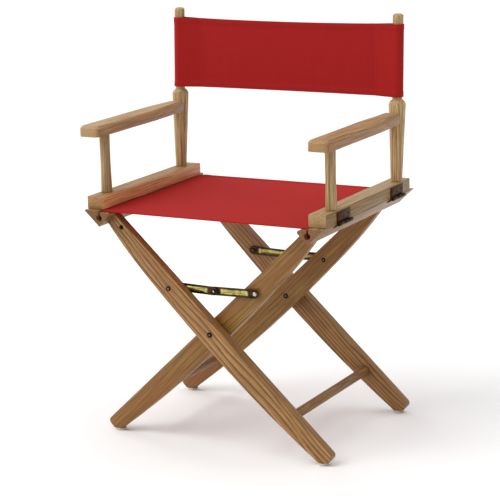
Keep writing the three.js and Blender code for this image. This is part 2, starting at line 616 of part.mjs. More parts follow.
function addHinge(sideName, side, place, middle) {
  const low = middle - HINGE.length / 2;
  const high = middle + HINGE.length / 2;
  const third = HINGE.length / 3;
  const knuckleGap = 0.25;
  const segments = 16;
  const pinHole = cylinderAlongY(HINGE.pin + GAP, low - 1, high + 1, side * HINGE.x, HINGE.z, segments);
  const clearance = HINGE.knuckle + 0.25;

  const plate = BLOCK.outer + GAP;
  const upperPlate = box(side * plate, side * (plate + HINGE.leaf), low, high,
    BLOCK.bottom, HINGE_UPPER_LEAF_TOP);
  const ends = [[low, low + third - knuckleGap], [high - third + knuckleGap, high]];
  const endKnuckles = ends.map(([a, b]) =>
    cylinderAlongY(HINGE.knuckle, a, b, side * HINGE.x, HINGE.z, segments));
  const upperRelief = cylinderAlongY(clearance, low + third - knuckleGap, high - third + knuckleGap,
    side * HINGE.x, HINGE.z, segments);
  const upper = join([upperPlate, ...endKnuckles]);
  add(`${sideName}_hinge_${place}_upper_leaf`, cut(upper, [upperRelief, pinHole]), BRONZE);

  // The lower plate is drawn lying along the rail's outer face, GAP clear of it.
  const along = (d, off) => new THREE.Vector2(
    side * (RAIL_OUTER_X - d * COS + off * SIN), RAIL_TOP - d * SIN - off * COS);
  const start = -0.6;
  const lowerPlate = prismAlongY(outlineOf([
    along(start, GAP), along(HINGE_LOWER_LEAF, GAP),
    along(HINGE_LOWER_LEAF, GAP + HINGE.leaf), along(start, GAP + HINGE.leaf),
  ]), low, high);
  const middleKnuckle = cylinderAlongY(HINGE.knuckle, low + third, high - third,
    side * HINGE.x, HINGE.z, segments);
  const lowerRelief = [[low - 1, low + third], [high - third, high + 1]].map(([a, b]) =>
    cylinderAlongY(clearance, a, b, side * HINGE.x, HINGE.z, segments));
  const lower = join([lowerPlate, middleKnuckle]);
  add(`${sideName}_hinge_${place}_lower_leaf`, cut(lower, [...lowerRelief, pinHole]), BRONZE);

  const pin = cylinderAlongY(HINGE.pin, low, high, side * HINGE.x, HINGE.z, 12);
  add(`${sideName}_hinge_${place}_pin`, pin, STEEL);
}

function addArm(sideName, side) {
  addBlock(sideName, side);
  addPosts(sideName, side);
  addArmrest(`${sideName}_armrest`, side);
  addHinge(sideName, side, 'front', FRONT * HINGE.y);
  addHinge(sideName, side, 'rear', REAR * HINGE.y);
}

// ---- the canvas ----

// The seat is one sheet. Each side goes down into its rail's groove and is hemmed round a rod.
function seatShape() {
  const top = SHELF_TOP + 0.4 + SEAT_CANVAS.thickness;
  const under = SHELF_TOP + 0.4;
  const opening = Math.asin(HEM_SLOT_HALF / HEM_OUTER_RADIUS);
  const half = [[GROOVE_X + HEM_SLOT_HALF, top]];
  const steps = 18;
  for (let i = 0; i <= steps; i++) {
    const angle = Math.PI / 2 - opening - (2 * Math.PI - 2 * opening) * (i / steps);
    half.push([
      GROOVE_X + HEM_OUTER_RADIUS * Math.cos(angle),
      GROOVE_ROD_HEIGHT + HEM_OUTER_RADIUS * Math.sin(angle),
    ]);
  }
  half.push([GROOVE_X - HEM_SLOT_HALF, under]);
  const mirrored = half.map(([x, z]) => [-x, z]).reverse();
  const shape = outlineOf([...half, ...mirrored].map(([x, z]) => new THREE.Vector2(x, z)));
  for (const side of [LEFT, RIGHT]) {
    shape.holes.push(circleHole(side * GROOVE_X, GROOVE_ROD_HEIGHT, HEM_INNER_RADIUS));
  }
  return shape;
}

// The back is one sheet with a sewn sleeve at each end that slips over a post.
function backShape() {
  const half = BACK_CANVAS.thickness / 2;
  const outline = [];
  const steps = 14;
  const turn = Math.acos(BACK_CANVAS.sleeveRadius / (BACK_POST.x - BACK_CANVAS.sleeveSeam));
  outline.push([BACK_CANVAS.sleeveSeam, BACK_POST.y - half]);
  for (let i = 0; i <= steps; i++) {
    const angle = -(Math.PI - turn) + (2 * (Math.PI - turn) * i) / steps;
    outline.push([
      BACK_POST.x + BACK_CANVAS.sleeveRadius * Math.cos(angle),
      BACK_POST.y + BACK_CANVAS.sleeveRadius * Math.sin(angle),
    ]);
  }
  outline.push([BACK_CANVAS.sleeveSeam, BACK_POST.y + half]);
  const mirrored = outline.map(([x, y]) => [-x, y]).reverse();
  const shape = outlineOf([...outline, ...mirrored].map(([x, y]) => new THREE.Vector2(x, y)));
  for (const side of [LEFT, RIGHT]) {
    shape.holes.push(circleHole(side * BACK_POST.x, BACK_POST.y, BACK_POST.neck + 0.5));
  }
  return shape;
}

// ---- the chair ----

addFrame('outer', LEFT, OUTER_LEG_Y);
addFrame('inner', RIGHT, INNER_LEG_Y);

for (const [place, end] of [['front', FRONT], ['rear', REAR]]) {
  addPivot(place, end);
  addStay(place, end);
}

addArm('left', LEFT);
addArm('right', RIGHT);

add('seat_canvas', prismAlongY(seatShape(), SEAT_CANVAS.front, SEAT_CANVAS.rear, 16), CANVAS);

const backCanvas = new THREE.ExtrudeGeometry(backShape(), {
  depth: BACK_CANVAS.top - BACK_CANVAS.bottom,
  bevelEnabled: false,
  curveSegments: 16,
});
backCanvas.translate(0, 0, BACK_CANVAS.bottom);
const lean = new THREE.Matrix4().set(
  1, 0, 0, 0,
  0, 1, BACK_LEAN, -BACK_LEAN * BACK_POST_HEAD_TOP,
  0, 0, 1, 0,
  0, 0, 0, 1,
);
backCanvas.applyMatrix4(lean);
add('back_canvas', backCanvas, CANVAS);

export default chair;
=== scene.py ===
import json
import math
import random

import bmesh
import bpy
from mathutils import Matrix, Vector


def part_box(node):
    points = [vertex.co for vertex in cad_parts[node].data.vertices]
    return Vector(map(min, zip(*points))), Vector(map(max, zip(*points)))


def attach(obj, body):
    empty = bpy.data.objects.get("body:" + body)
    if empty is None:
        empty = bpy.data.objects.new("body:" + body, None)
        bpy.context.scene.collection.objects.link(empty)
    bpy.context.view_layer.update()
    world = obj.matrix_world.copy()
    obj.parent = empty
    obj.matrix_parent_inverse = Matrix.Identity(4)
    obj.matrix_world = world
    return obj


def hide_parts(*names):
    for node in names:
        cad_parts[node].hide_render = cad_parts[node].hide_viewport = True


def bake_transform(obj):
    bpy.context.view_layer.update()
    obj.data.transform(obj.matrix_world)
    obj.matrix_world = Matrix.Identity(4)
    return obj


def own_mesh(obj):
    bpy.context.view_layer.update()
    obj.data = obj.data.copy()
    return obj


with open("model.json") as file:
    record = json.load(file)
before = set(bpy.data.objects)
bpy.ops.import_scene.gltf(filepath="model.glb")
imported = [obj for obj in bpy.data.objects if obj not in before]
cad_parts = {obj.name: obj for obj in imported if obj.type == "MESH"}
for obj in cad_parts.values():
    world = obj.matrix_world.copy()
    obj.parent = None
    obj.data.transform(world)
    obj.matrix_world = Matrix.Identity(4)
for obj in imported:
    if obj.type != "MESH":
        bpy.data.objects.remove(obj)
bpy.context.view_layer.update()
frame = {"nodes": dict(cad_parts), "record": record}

UP = Vector((0, 0, 1))
ALONG_Y = Vector((0, 1, 0))
ALONG_X = Vector((1, 0, 0))
SIDES = {"left": -1, "right": 1}
ENDS = {"front": -1, "rear": 1}

# The body that each CAD node rides on.
body_of_node = {
    node: body
    for body, nodes in frame["record"]["behaviour"]["bodies"].items()
    for node in nodes
}


def middle(node):
    """The middle of a CAD node's box."""
    low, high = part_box(node)
    return (low + high) / 2


# ---- materials ----


def linear(r, g, b):
    """A colour given as 0 to 255 display values, as the linear colour that a shader takes."""
    def channel(v):
        v /= 255
        return v / 12.92 if v <= 0.04045 else ((v + 0.055) / 1.055) ** 2.4
    return (channel(r), channel(g), channel(b), 1)


class Shader:
    """A material's node tree, built a node at a time."""

    def __init__(self, name):
        self.material = bpy.data.materials.new(name)
        self.material.use_nodes = True
        self.tree = self.material.node_tree
        self.surface = self.tree.nodes["Principled BSDF"]

    def add(self, kind, inputs=None, **settings):
        node = self.tree.nodes.new(kind)
        for key, value in settings.items():
            setattr(node, key, value)
        for key, value in (inputs or {}).items():
            self.feed(node.inputs[key], value)
        return node

    def feed(self, socket, value):
        if isinstance(value, bpy.types.NodeSocket):
            self.tree.links.new(value, socket)
        else:
            socket.default_value = value

    def math(self, operation, *values):
        return self.add("ShaderNodeMath", dict(enumerate(values)), operation=operation).outputs[0]

    def dot(self, vector, direction):
        node = self.add("ShaderNodeVectorMath", {0: vector, 1: tuple(direction)}, operation="DOT_PRODUCT")
        return node.outputs["Value"]

    def combine(self, x, y, z):
        return self.add("ShaderNodeCombineXYZ", {0: x, 1: y, 2: z}).outputs[0]

    def noise(self, vector, scale, detail=2.0, roughness=0.5):
        node = self.add("ShaderNodeTexNoise", {
            "Vector": vector, "Scale": scale, "Detail": detail, "Roughness": roughness,
        })
        return node.outputs["Fac"]

    def spread(self, value, low, high, to_low=0.0, to_high=1.0):
        node = self.add("ShaderNodeMapRange", {
            "Value": value, "From Min": low, "From Max": high, "To Min": to_low, "To Max": to_high,
        })
        return node.outputs["Result"]

    def mix(self, share, a, b, blend="MIX"):
        node = self.add("ShaderNodeMix", data_type="RGBA", blend_type=blend)
        self.feed(node.inputs[0], share)
        self.feed(node.inputs[6], a)
        self.feed(node.inputs[7], b)
        return node.outputs[2]

    def ramp(self, value, *stops):
        node = self.add("ShaderNodeValToRGB", {"Fac": value})
        elements = node.color_ramp.elements
        while len(elements) < len(stops):
            elements.new(0.5)
        for element, (position, colour) in zip(elements, stops):
            element.position = position
            element.color = colour
        return node.outputs["Color"]

    def bump(self, height, distance, strength=1.0):
        node = self.add("ShaderNodeBump", {"Height": height, "Distance": distance, "Strength": strength})
        self.feed(self.surface.inputs["Normal"], node.outputs["Normal"])

    def set(self, **values):
        for key, value in values.items():
            self.feed(self.surface.inputs[key.replace("_", " ")], value)
        return self.material


WOOD_LIGHT = linear(196, 163, 114)
WOOD_MIDDLE = linear(146, 110, 63)
WOOD_DARK = linear(96, 66, 34)
WOOD_RED = linear(150, 92, 50)
WOOD_PORE = linear(58, 38, 20)

# The figure's parts, each with its scale across the grain and along it, per metre.
SWAY_SCALE, SWAY = (14, 3.2), 0.011
QUICK_SWAY_SCALE, QUICK_SWAY = (90, 12), 0.0011
FIBRE_SCALE = (620, 11)
PORE_SCALE = (1500, 60)
PATCH_SCALE = (30, 4)
RING_SLANT = 0.012               # how fast the rings run out of the board's face
# The place across a growth ring, and the depth of its colour there.
RING_TONES = ((0.0, 0.0), (0.55, 0.25), (0.86, 1.0), (1.0, 0.05))
RING_SHARE = 0.66                # of the dark colour in a ring's late wood
PORE_SHARE = 0.75
FIGURE_DEPTH = 0.00022


def toned(colour, tone):
    """A colour with its red, green and blue multiplied by the three figures of tone."""
    return tuple(min(1.0, c * t) for c, t in zip(colour[:3], tone)) + (1,)


def wood(name, along, face, seed, ring_at=0.06, ring_pitch=0.0032, redness=0.35, contrast=1.0,
         tone=(1, 1, 1), painted_light_and_end_grain=None):
    """Varnished ash. along is the grain's direction and face the normal of the board's wide face.
    ring_at is how far the middle of the growth rings lies behind the face: near for arched grain,
    far for straight. The last argument, (direction, tone), multiplies the colour of the faces that look
    one way by the tone: painted light and shade on the arm blocks and armrests, and darker end grain at
    the rails' front ends."""
    light, mid, dark, red, deep = (
        toned(c, tone) for c in (WOOD_LIGHT, WOOD_MIDDLE, WOOD_DARK, WOOD_RED, WOOD_PORE))
    s = Shader(name)
    along = Vector(along).normalized()
    face = Vector(face).normalized()
    across = along.cross(face)
    rng = random.Random(seed)
    place = s.add("ShaderNodeTexCoord").outputs["Object"]
    length = s.math("ADD", s.dot(place, along), rng.uniform(-3, 3))
    width = s.math("ADD", s.dot(place, across), rng.uniform(-0.006, 0.006))
    depth = s.dot(place, face)

    def drawn_out(scale):
        """The place in the board, scaled across the grain and along it."""
        crosswise, lengthwise = scale
        return s.combine(s.math("MULTIPLY", width, crosswise), s.math("MULTIPLY", depth, crosswise),
                         s.math("MULTIPLY", length, lengthwise))

    sway = s.spread(s.noise(drawn_out(SWAY_SCALE), 1.0, 2.0, 0.45), 0.25, 0.75, -SWAY, SWAY)
    quick_sway = s.spread(s.noise(drawn_out(QUICK_SWAY_SCALE), 1.0), 0.25, 0.75, -QUICK_SWAY, QUICK_SWAY)
    w = s.math("ADD", s.math("ADD", width, sway), quick_sway)
    d = s.math("ADD", s.math("ADD", depth, ring_at), s.math("MULTIPLY", length, RING_SLANT))
    radius = s.math("SQRT", s.math("ADD", s.math("MULTIPLY", w, w), s.math("MULTIPLY", d, d)))
    ring = s.math("FRACT", s.math("DIVIDE", radius, ring_pitch))
    ring = s.ramp(ring, *((at, (level, level, level, 1)) for at, level in RING_TONES))

    fibre = s.noise(drawn_out(FIBRE_SCALE), 1.0, 4.0, 0.62)
    pore = s.spread(s.noise(drawn_out(PORE_SCALE), 1.0, 1.0), 0.60, 0.72)
    pore = s.math("MULTIPLY", pore, s.spread(ring, 0.0, 0.8, 0.35, 1.0))
    patch = s.noise(drawn_out(PATCH_SCALE), 1.0, 2.0, 0.5)

    colour = s.mix(s.spread(fibre, 0.40, 0.60), light, mid)
    colour = s.mix(s.math("MULTIPLY", ring, RING_SHARE * contrast), colour, dark)
    colour = s.mix(s.spread(patch, 0.38, 0.72, 0.0, redness), colour, red)
    colour = s.mix(s.math("MULTIPLY", pore, PORE_SHARE * contrast), colour, deep)
    # Faces that look along direction get their colour multiplied by the tone: painted light and shade on the
    # blocks and armrests, darker end grain on the rails.
    if painted_light_and_end_grain:
        direction, facing_tone = painted_light_and_end_grain
        normal = s.add("ShaderNodeNewGeometry").outputs["Normal"]
        share = s.spread(s.dot(normal, direction), 0.45, 0.85)
        colour = s.mix(share, colour, s.mix(1.0, colour, facing_tone + (1,), "MULTIPLY"))
    height = s.math("SUBTRACT", s.math("MULTIPLY", fibre, 0.5), s.math("MULTIPLY", pore, 0.9))
    height = s.math("SUBTRACT", height, s.math("MULTIPLY", ring, 0.25))
    s.bump(height, FIGURE_DEPTH, 0.55)
    s.set(Base_Color=colour, Roughness=s.spread(fibre, 0.2, 0.8, 0.40, 0.56))
    return s.set(Coat_Weight=0.10, Coat_Roughness=0.3, Specular_IOR_Level=0.35)


THREAD_PITCH = 0.00072
ALONG_THREAD, ACROSS_THREAD = 9, 1100    # scale of the thick and thin places, per metre
WASH_SCALE = 9.0
WEAVE_DEPTH = 0.00014


def canvas(name, colour):
    """Cotton duck in a plain weave, on a UV map whose unit is a metre of cloth."""
    s = Shader(name)
    uv = s.add("ShaderNodeUVMap", uv_map="cloth").outputs["UV"]
    split = s.add("ShaderNodeSeparateXYZ", {0: uv})
    u, v = split.outputs[0], split.outputs[1]
    turn = math.pi / THREAD_PITCH
    warp = s.math("SINE", s.math("MULTIPLY", u, turn))
    weft = s.math("SINE", s.math("MULTIPLY", v, turn))
    over = s.math("MULTIPLY", warp, weft)

    def slubs(u_scale, v_scale, layer):
        """The thick and thin places in the threads of one direction."""
        place = s.combine(s.math("MULTIPLY", u, u_scale), s.math("MULTIPLY", v, v_scale), layer)
        return s.noise(place, 1.0, 2.0)

    slub = s.math("ADD", slubs(ALONG_THREAD, ACROSS_THREAD, 0.0), slubs(ACROSS_THREAD, ALONG_THREAD, 4.0))
    wash = s.noise(s.combine(u, v, 1.0), WASH_SCALE, 3.0, 0.6)
    dark = toned(colour, (0.86, 0.8, 0.8))
    pale = toned(colour, (1.08, 1.12, 1.12))
    shade = s.mix(s.spread(slub, 0.7, 1.3), dark, pale)
    shade = s.mix(s.spread(over, -1, 1, 0.0, 0.12), shade, (0, 0, 0, 1))
    shade = s.mix(s.spread(wash, 0.3, 0.7, 0.0, 0.10), shade, dark)
    height = s.math("ADD", s.math("MULTIPLY", over, 0.5), s.math("MULTIPLY", slub, 0.5))
    s.bump(height, WEAVE_DEPTH, 0.5)
    s.set(Base_Color=shade, Roughness=s.spread(slub, 0.8, 1.2, 0.82, 0.94))
    return s.set(Sheen_Weight=0.03, Sheen_Roughness=0.5, Specular_IOR_Level=0.12)


UNEVEN_SCALE, SCRATCH_SCALE = 28.0, 260.0
SCRATCH_STRETCH = (1, 6, 6)      # draws the scratches out along X
SCRATCH_DEPTH = 0.00004


def metal(name, colour, other, roughness, metallic=1.0):
    """Plated sheet or turned metal with uneven plating and fine scratches."""
    s = Shader(name)
    place = s.add("ShaderNodeTexCoord").outputs["Object"]
    uneven = s.noise(place, UNEVEN_SCALE, 3.0, 0.6)
    drawn = s.add("ShaderNodeMapping", {"Vector": place, "Scale": SCRATCH_STRETCH}).outputs[0]
    scratch = s.noise(drawn, SCRATCH_SCALE, 3.0, 0.7)
    s.bump(scratch, SCRATCH_DEPTH, 0.5)
    s.set(Base_Color=s.mix(s.spread(uneven, 0.35, 0.68), colour, other), Metallic=metallic)
    return s.set(Roughness=s.spread(scratch, 0.3, 0.7, roughness - 0.07, roughness + 0.09))


PLATED_HALF_WIDTH = 0.0036       # of the bright strip along a stay link's rib
PLATED_EDGE = 0.0016             # over which the strip goes brown
PLATED_END = (-0.002, 0.003)     # the same at the strip's ends, from the rib's own end
EDGE_WANDER, END_WANDER = 0.0006, 0.002
BLOTCH_SCALE = 90.0


def stay_plating(name, rib_middle, rib_half, bolt_height, fall):
    """Yellow zinc along a stay link's rib, browned on its flat ends and edges. rib_middle is how far the
    rib's middle lies from the chair's middle plane, rib_half half the rib's length, and fall how much lower
    than bolt_height the two links meet."""
    s = Shader(name)
    place = s.add("ShaderNodeTexCoord").outputs["Object"]
    uneven = s.noise(place, BLOTCH_SCALE, 3.0, 0.6)
    out = s.math("ABSOLUTE", s.dot(place, ALONG_X))
    past = s.math("ABSOLUTE", s.math("SUBTRACT", out, rib_middle))
    past = s.math("ADD", past, s.spread(uneven, 0.3, 0.7, -END_WANDER, END_WANDER))
    brown_end = s.spread(past, rib_half + PLATED_END[0], rib_half + PLATED_END[1])
    line = s.spread(out, 0.0, 2 * rib_middle, bolt_height - fall, bolt_height)
    beside = s.math("ABSOLUTE", s.math("SUBTRACT", s.dot(place, UP), line))
    beside = s.math("ADD", beside, s.spread(uneven, 0.3, 0.7, -EDGE_WANDER, EDGE_WANDER))
    brown_edge = s.spread(beside, PLATED_HALF_WIDTH, PLATED_HALF_WIDTH + PLATED_EDGE)
    yellow = s.mix(s.spread(uneven, 0.35, 0.7), linear(208, 198, 122), linear(140, 122, 60))
    brown = s.mix(s.spread(uneven, 0.35, 0.7), linear(76, 60, 38), linear(34, 26, 18))
    s.bump(uneven, SCRATCH_DEPTH, 0.4)
    s.set(Base_Color=s.mix(s.math("MAXIMUM", brown_end, brown_edge), yellow, brown), Metallic=1.0)
    return s.set(Roughness=s.spread(uneven, 0.3, 0.7, 0.12, 0.24))


MOTTLE_SCALE, MOTTLE_DEPTH = 160.0, 0.00005


def plastic(name, colour):
    """Moulded plastic, a little scuffed."""
    s = Shader(name)
    place = s.add("ShaderNodeTexCoord").outputs["Object"]
    mottle = s.noise(place, MOTTLE_SCALE, 3.0, 0.6)
    scuffed = tuple(0.82 * c for c in colour[:3]) + (1,)
    s.bump(mottle, MOTTLE_DEPTH, 0.4)
    s.set(Base_Color=s.mix(s.spread(mottle, 0.35, 0.75), colour, scuffed))
    return s.set(Roughness=s.spread(mottle, 0.3, 0.7, 0.42, 0.55))


seat_cloth = canvas("seat_canvas_red", linear(170, 22, 17))
back_cloth = canvas("back_canvas_red", linear(166, 31, 30))
thread = metal("red_thread", linear(120, 16, 20), linear(96, 12, 16), 0.7, metallic=0.0)
bronze = metal("bronze", linear(82, 46, 17), linear(58, 35, 15), 0.5)
# Bronze painted darker, for the hinges' lower leaves and pins: painted shade, where they sit in under the arm
# blocks.
bronze_painted_shade = metal("bronze_painted_shade", linear(44, 30, 20), linear(28, 21, 16), 0.52)
# Black steel for the fixings, partly painted shade: their black rings and black ends also stand for the dark
# of the holes that the heads sit in.
black_steel_hole_shade = metal("black_steel_hole_shade", linear(46, 38, 32), linear(28, 24, 22), 0.38)
steel = metal("satin_steel", linear(198, 196, 190), linear(160, 156, 148), 0.26)
brown_steel = metal("brown_steel", linear(122, 92, 64), linear(78, 56, 38), 0.42)
dull_steel = metal("dull_steel", linear(150, 138, 118), linear(110, 96, 78), 0.4)
glide_plastic = plastic("glide_plastic", linear(200, 198, 192))


# ---- pieces made from the CAD solids, with eased edges ----


def shade_smooth(obj, sharp):
    """Smooth shading, with the edges over sharp degrees left sharp."""
    for polygon in obj.data.polygons:
        polygon.use_smooth = True
    obj.data.set_sharp_from_angle(angle=math.radians(sharp))


def finish_piece(obj, material, body, slot, *replaced, sharp=35, second=None):
    """Give a piece its material and its body, and hide the CAD nodes that it stands for. The slot is not
    used.
    """
    obj.data.materials.append(material)
    if second:
        obj.data.materials.append(second)
    shade_smooth(obj, sharp)
    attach(obj, body)
    if replaced:
        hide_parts(*replaced)
    return obj


def new_object(name, bm):
    mesh = bpy.data.meshes.new(name)
    bmesh.ops.recalc_face_normals(bm, faces=bm.faces)
    bm.to_mesh(mesh)
    bm.free()
    obj = bpy.data.objects.new(name, mesh)
    bpy.context.scene.collection.objects.link(obj)
    return obj


WELD_DISTANCE = 1e-6
FLAT_WITHIN = math.radians(0.6)


def eased(node, material, slot, ease=0.0012, segments=2, sharp=32, press=None, second=None):
    """A copy of a CAD node with its edges over sharp degrees rounded, standing for that node. press takes its
    bmesh and shapes it on."""
    bm = bmesh.new()
    bm.from_mesh(frame["nodes"][node].data)
    bmesh.ops.remove_doubles(bm, verts=bm.verts, dist=WELD_DISTANCE)
    bmesh.ops.dissolve_limit(bm, angle_limit=FLAT_WITHIN, verts=bm.verts, edges=bm.edges)
    edges = [
        e for e in bm.edges
        if len(e.link_faces) == 2 and e.calc_face_angle(0) > math.radians(sharp)
    ]
    bmesh.ops.bevel(bm, geom=edges, offset=ease, offset_type="OFFSET", segments=segments, profile=0.5,
                    affect="EDGES", clamp_overlap=True)
    if press:
        press(bm)
    bmesh.ops.triangulate(bm, faces=[f for f in bm.faces if len(f.verts) > 4])
    obj = new_object(f"{node}_piece", bm)
    return finish_piece(obj, material, body_of_node[node], slot, node, sharp=40, second=second)


LEG_ANGLE = math.radians(43.3)   # of a leg above the floor, chair open
down_right = Vector((math.cos(LEG_ANGLE), 0, -math.sin(LEG_ANGLE)))
down_left = Vector((-math.cos(LEG_ANGLE), 0, -math.sin(LEG_ANGLE)))

STRAIGHT_GRAIN = {"ring_at": 0.20, "ring_pitch": 0.0040, "redness": 0.22, "contrast": 1.5,
                  "tone": (0.90, 0.76, 0.58)}
ARCHED_GRAIN = {"ring_at": 0.026, "ring_pitch": 0.0075, "redness": 0.7, "contrast": 0.75,
                "tone": (0.70, 0.60, 0.33)}
STRETCHER_GRAIN = {"ring_at": 0.12, "tone": (0.68, 0.54, 0.38)}
RAIL_GRAIN = {"ring_at": 0.05, "contrast": 1.3, "tone": (0.74, 0.70, 0.62),
              "painted_light_and_end_grain": ((0, -1, 0), (0.80, 0.66, 0.58))}
# Each block's faces that look to +X take a second tone. The left block's, which face the seat, are painted
# lighter: a painted reflection of the light thrown on them by the seat. The right block's, on the outside,
# are painted darker: painted shade.
BLOCK_GRAIN = {
    "left": {"contrast": 0.5, "tone": (0.94, 0.86, 0.70), "painted_light_and_end_grain": ((1, 0, 0), (1.95, 1.7, 2.1))},
    "right": {"contrast": 0.8, "tone": (1.06, 1.16, 1.26), "painted_light_and_end_grain": ((1, 0, 0), (0.63, 0.54, 0.36))},
}
ARMREST_GRAIN = {
    "left": {"redness": 0.1, "tone": (1.12, 1.14, 1.24)},
    "right": {"redness": 0.35, "tone": (1.0, 0.98, 0.98)},
}
# The armrests' faces that look to +X are painted darker: painted shade on their sides.
ARMREST_SIDE_SHADE = ((1, 0, 0), (0.86, 0.74, 0.6))
POST_TONE = {"front_post": (1.02, 1.15, 1.25), "back_post": (1.22, 1.38, 1.50)}


def make_legs():
    for end_name, end in ENDS.items():
        for frame_name, along in (("outer", down_right), ("inner", down_left)):
            leg = f"{frame_name}_leg_{end_name}"
            straight = frame_name == "outer"
            grain = STRAIGHT_GRAIN if straight else ARCHED_GRAIN
            leg_wood = wood(f"wood_{leg}", along, (0, end, 0), seed=11 + 3 * end + 7 * straight, **grain)
            eased(leg, leg_wood, "wood", ease=0.0014)
            eased(f"{frame_name}_glide_{end_name}", glide_plastic, "glide", ease=0.0005)
    for frame_name in ("outer", "inner"):
        stretcher_wood = wood(f"wood_{frame_name}_stretcher", ALONG_Y, UP, seed=31, **STRETCHER_GRAIN)
        eased(f"{frame_name}_stretcher", stretcher_wood, "wood", ease=0.0008, sharp=50)


def make_side(side_name, side):
    """The woodwork and the hinges of one side, from the rail to the armrest."""
    rail_wood = wood(f"wood_{side_name}_rail", ALONG_Y, (side, 0, -1), seed=41 + side, **RAIL_GRAIN)
    eased(f"{side_name}_rail", rail_wood, "wood", ease=0.0007, sharp=40)
    block_wood = wood(f"wood_{side_name}_block", ALONG_Y, (side, 0, 0.4), seed=51 + side, ring_at=0.09,
                      ring_pitch=0.0045, redness=0.4, **BLOCK_GRAIN[side_name])
    eased(f"{side_name}_arm_block", block_wood, "wood", ease=0.0018)
    rest_wood = wood(f"wood_{side_name}_armrest", ALONG_Y, UP, seed=61 + side, ring_at=0.05, contrast=0.8,
                     painted_light_and_end_grain=ARMREST_SIDE_SHADE, **ARMREST_GRAIN[side_name])
    eased(f"{side_name}_armrest", rest_wood, "wood", ease=0.0006, sharp=25)
    for post, tone in POST_TONE.items():
        post_wood = wood(f"wood_{side_name}_{post}", UP, (0, -1, 0), seed=71 + side + len(post),
                         ring_at=0.10, ring_pitch=0.0055, redness=0.3, tone=tone)
        eased(f"{side_name}_{post}", post_wood, "wood", ease=0.0007, sharp=30)
    rod_wood = wood(f"wood_{side_name}_rod", ALONG_Y, UP, seed=81, ring_at=0.1)
    eased(f"{side_name}_seat_rod", rod_wood, "wood", ease=0.0006, sharp=50)
    for end_name in ENDS:
        hinge = f"{side_name}_hinge_{end_name}"
        eased(f"{hinge}_upper_leaf", bronze, "bronze", ease=0.0003, sharp=40)
        # The lower leaf and the pin take the darker bronze: painted shade under the arm block.
        eased(f"{hinge}_lower_leaf", bronze_painted_shade, "bronze", ease=0.0003, sharp=40)
        eased(f"{hinge}_pin", bronze_painted_shade, "steel", ease=0.0003, sharp=50)


make_legs()
for side_name, side in SIDES.items():
    make_side(side_name, side)


# ---- screws in the hinge leaves ----


# A domed head's rings, from its rim to the edge of its cross: share of the radius, share of the rise.
SCREW_RINGS = ((1.0, 0.35), (0.9, 0.7), (0.66, 0.93), (0.42, 1.0))
SCREW_SIDES = 24
SCREW_RISE = 0.0007
SCREW_SUNK = 0.0004              # how far the rim goes down past the head's centre
CROSS_HALF_WIDTH = 0.00045
CROSS_FLOOR = 0.25               # height of the cross's floor, as a share of the rise
CROSS_TAPER = 0.92               # size of the floor, as a share of the cross's opening


def screw_head(bm, centre, out, lengthwise, radius, turn):
    """A low domed screw head with a cross cut in it, standing on a face whose normal is out."""
    across = out.cross(lengthwise).normalized()

    def ring(reach_at, lift):
        verts = []
        for k in range(SCREW_SIDES):
            a = 2 * math.pi * k / SCREW_SIDES
            spoke = lengthwise * math.cos(a + turn) + across * math.sin(a + turn)
            verts.append(bm.verts.new(centre + spoke * reach_at(a) + out * lift))
        return verts

    def cross_reach(a):
        arm = abs(math.cos(2 * a)) ** 6
        return CROSS_TAPER * (CROSS_HALF_WIDTH + (radius * SCREW_RINGS[-1][0] - CROSS_HALF_WIDTH) * arm)

    rings = [ring(lambda a: radius, -SCREW_SUNK)]
    for share, height in SCREW_RINGS:
        rings.append(ring(lambda a, share=share: radius * share, height * SCREW_RISE))
    rings.append(ring(cross_reach, CROSS_FLOOR * SCREW_RISE))
    for low_ring, high_ring in zip(rings, rings[1:]):
        for k in range(SCREW_SIDES):
            n = (k + 1) % SCREW_SIDES
            bm.faces.new((low_ring[k], low_ring[n], high_ring[n], high_ring[k]))
    bm.faces.new(rings[-1])
    bm.faces.new(list(reversed(rings[0])))


block_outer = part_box("right_arm_block")[1].x
SCREW_SPACING = 0.021
LEAF_THICKNESS = 0.0015
SCREW_STANDS_OFF = 0.0003        # from an upper leaf's face
UPPER_SCREW_RADIUS, LOWER_SCREW_RADIUS = 0.0027, 0.0022
UPPER_SCREW_DROP = 0.0085        # from the upper leaf's top edge
MIDDLE_SCREW_DROP = 0.003        # of the middle one, below its neighbours
LOWER_SCREW_INSET = 0.0042       # from the lower leaf's free edge


def upper_screw(side, leaf_high, y, place):
    """The centre and the outward direction of a screw head on an upper leaf. place is -1, 0 or 1."""
    z = leaf_high.z - UPPER_SCREW_DROP - MIDDLE_SCREW_DROP * (place == 0)
    x = side * (block_outer + LEAF_THICKNESS + SCREW_STANDS_OFF)
    return Vector((x, y, z)), Vector((side, 0, 0))


def lower_screw(side, leaf_low, leaf_high, y):
    """The same on a lower leaf, which slopes in under the arm block, square to the legs."""
    down = Vector((-side * math.cos(LEG_ANGLE), 0, -math.sin(LEG_ANGLE)))
    out = Vector((side * math.sin(LEG_ANGLE), 0, -math.cos(LEG_ANGLE)))
    slant = LEAF_THICKNESS * math.sin(LEG_ANGLE)
    edge_x = leaf_low.x + slant if side > 0 else leaf_high.x - slant
    return Vector((edge_x, y, leaf_low.z)) - down * LOWER_SCREW_INSET, out


def make_leaf_screws(leaf, side, upper):
    """The three screws of a hinge leaf, as one piece. Each is left at a turn of its own."""
    low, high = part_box(leaf)
    bm = bmesh.new()
    for place in (-1, 0, 1):
        y = (low.y + high.y) / 2 + place * SCREW_SPACING
        centre, out = upper_screw(side, high, y, place) if upper else lower_screw(side, low, high, y)
        radius = UPPER_SCREW_RADIUS if upper else LOWER_SCREW_RADIUS
        screw_head(bm, centre, out, ALONG_Y, radius, turn=0.5 + 0.9 * place + side)
    finish_piece(new_object(f"{leaf}_screws", bm), bronze, body_of_node[leaf], "bronze", sharp=30)


